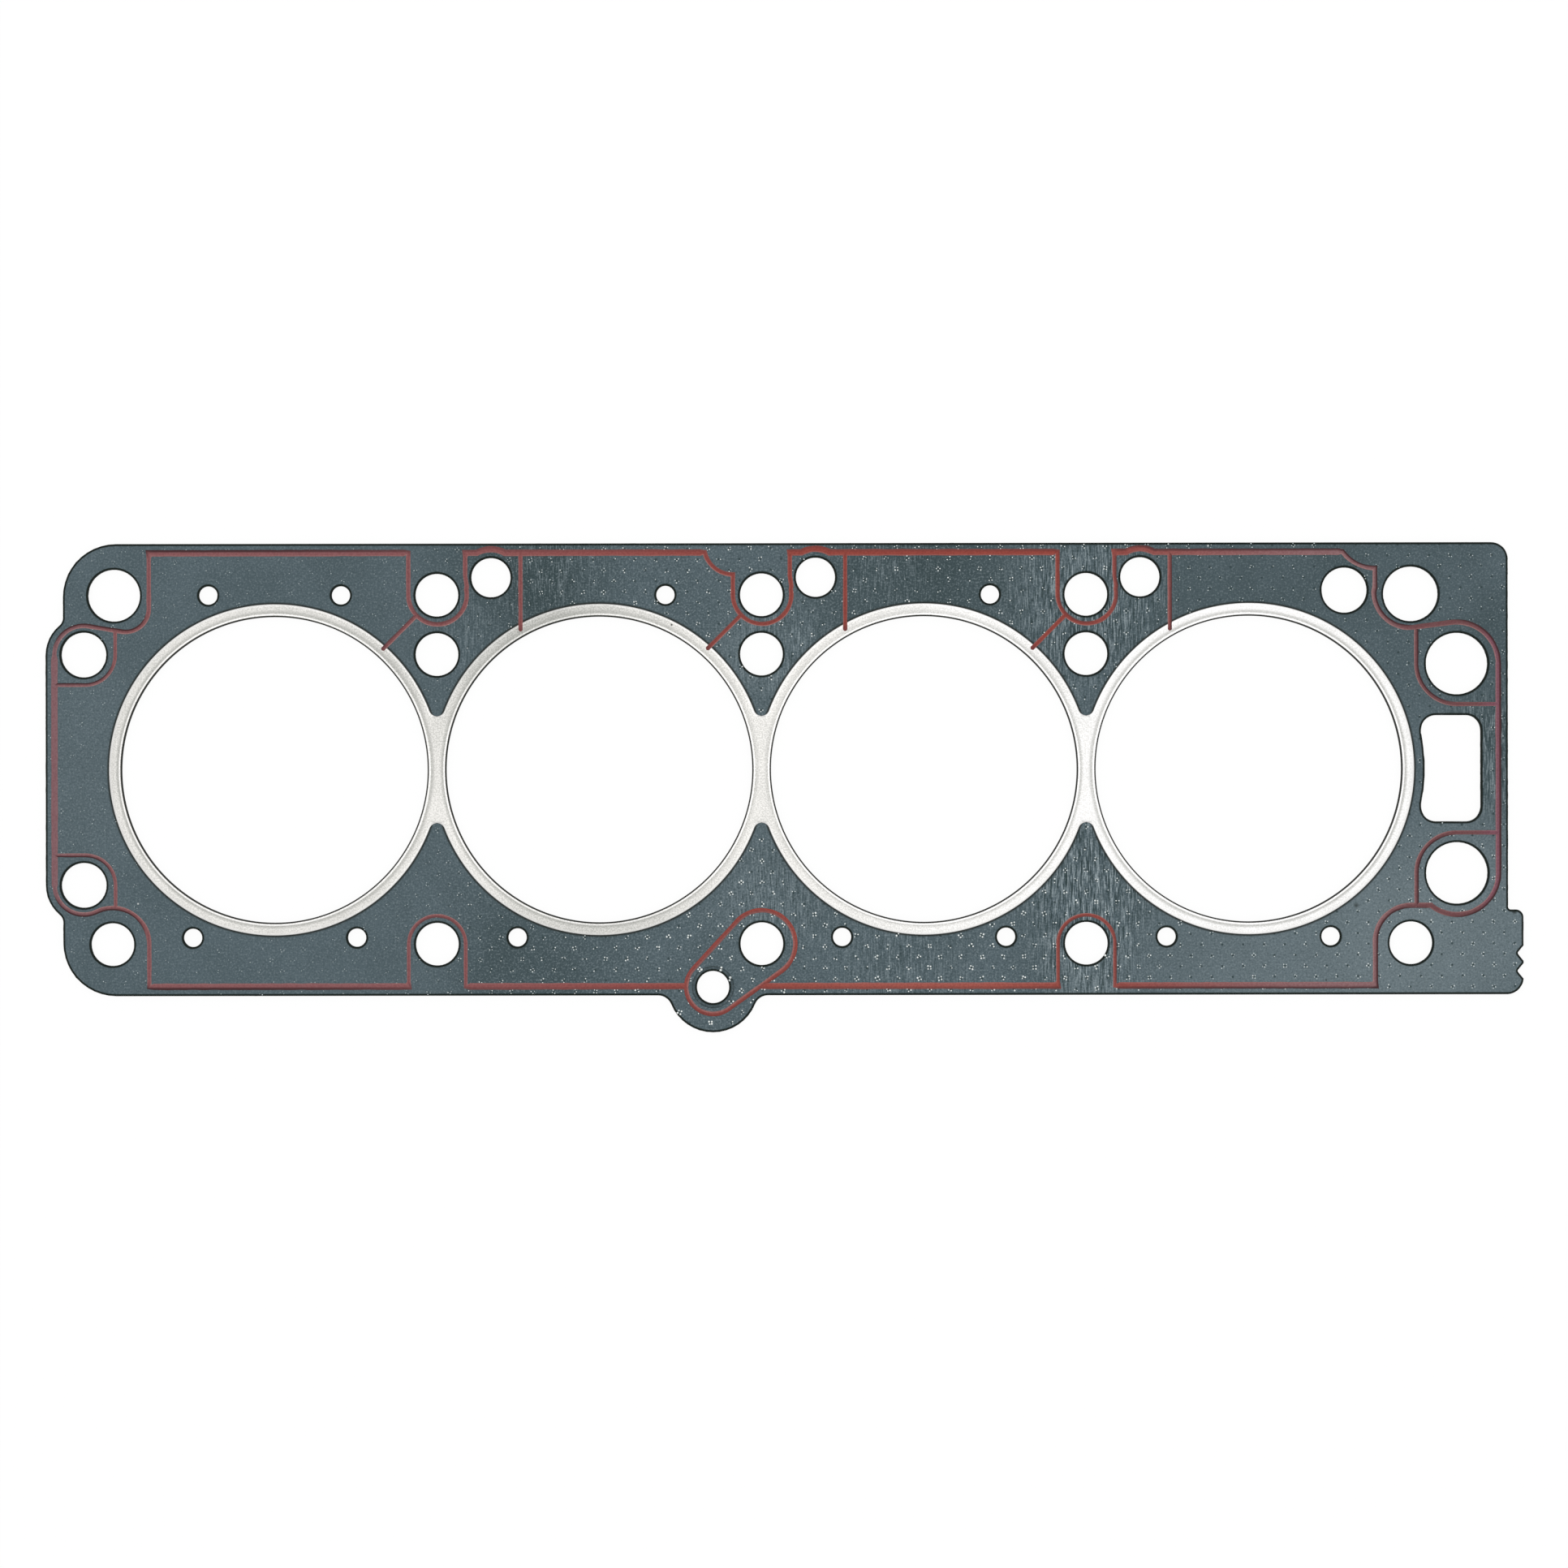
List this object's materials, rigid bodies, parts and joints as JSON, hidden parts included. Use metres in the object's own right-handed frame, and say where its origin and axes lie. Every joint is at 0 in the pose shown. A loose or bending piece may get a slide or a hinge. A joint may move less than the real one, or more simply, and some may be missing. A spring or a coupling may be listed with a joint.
{
  "type": "cylinder head gasket",
  "caption": "Flat laminated gasket for an in-line engine, with metal-armoured cylinder bores, bolt holes, coolant passages and a printed sealing bead.",
  "frame": {"origin": "middle of the four inner head bolt holes, on the plane of the block's deck", "axes": "+X along the row of cylinder bores towards the end with the slot, +Z away from the block"},
  "size_m": [0.4235, 0.1402, 0.0019],
  "materials": {
    "core_steel": "plain sheet",
    "facing": "smooth matte slate blue-grey, rubber-bound fibre",
    "armour_steel": "bright, finely grained",
    "sealant": "satin brick red"
  },
  "bodies": {
    "root": {"steel_core": "core_steel", "facing_upper": "facing", "facing_lower": "facing", "bore_armour": "armour_steel", "sealing_bead_upper": "sealant", "sealing_bead_lower": "sealant"}
  },
  "joints": []
}
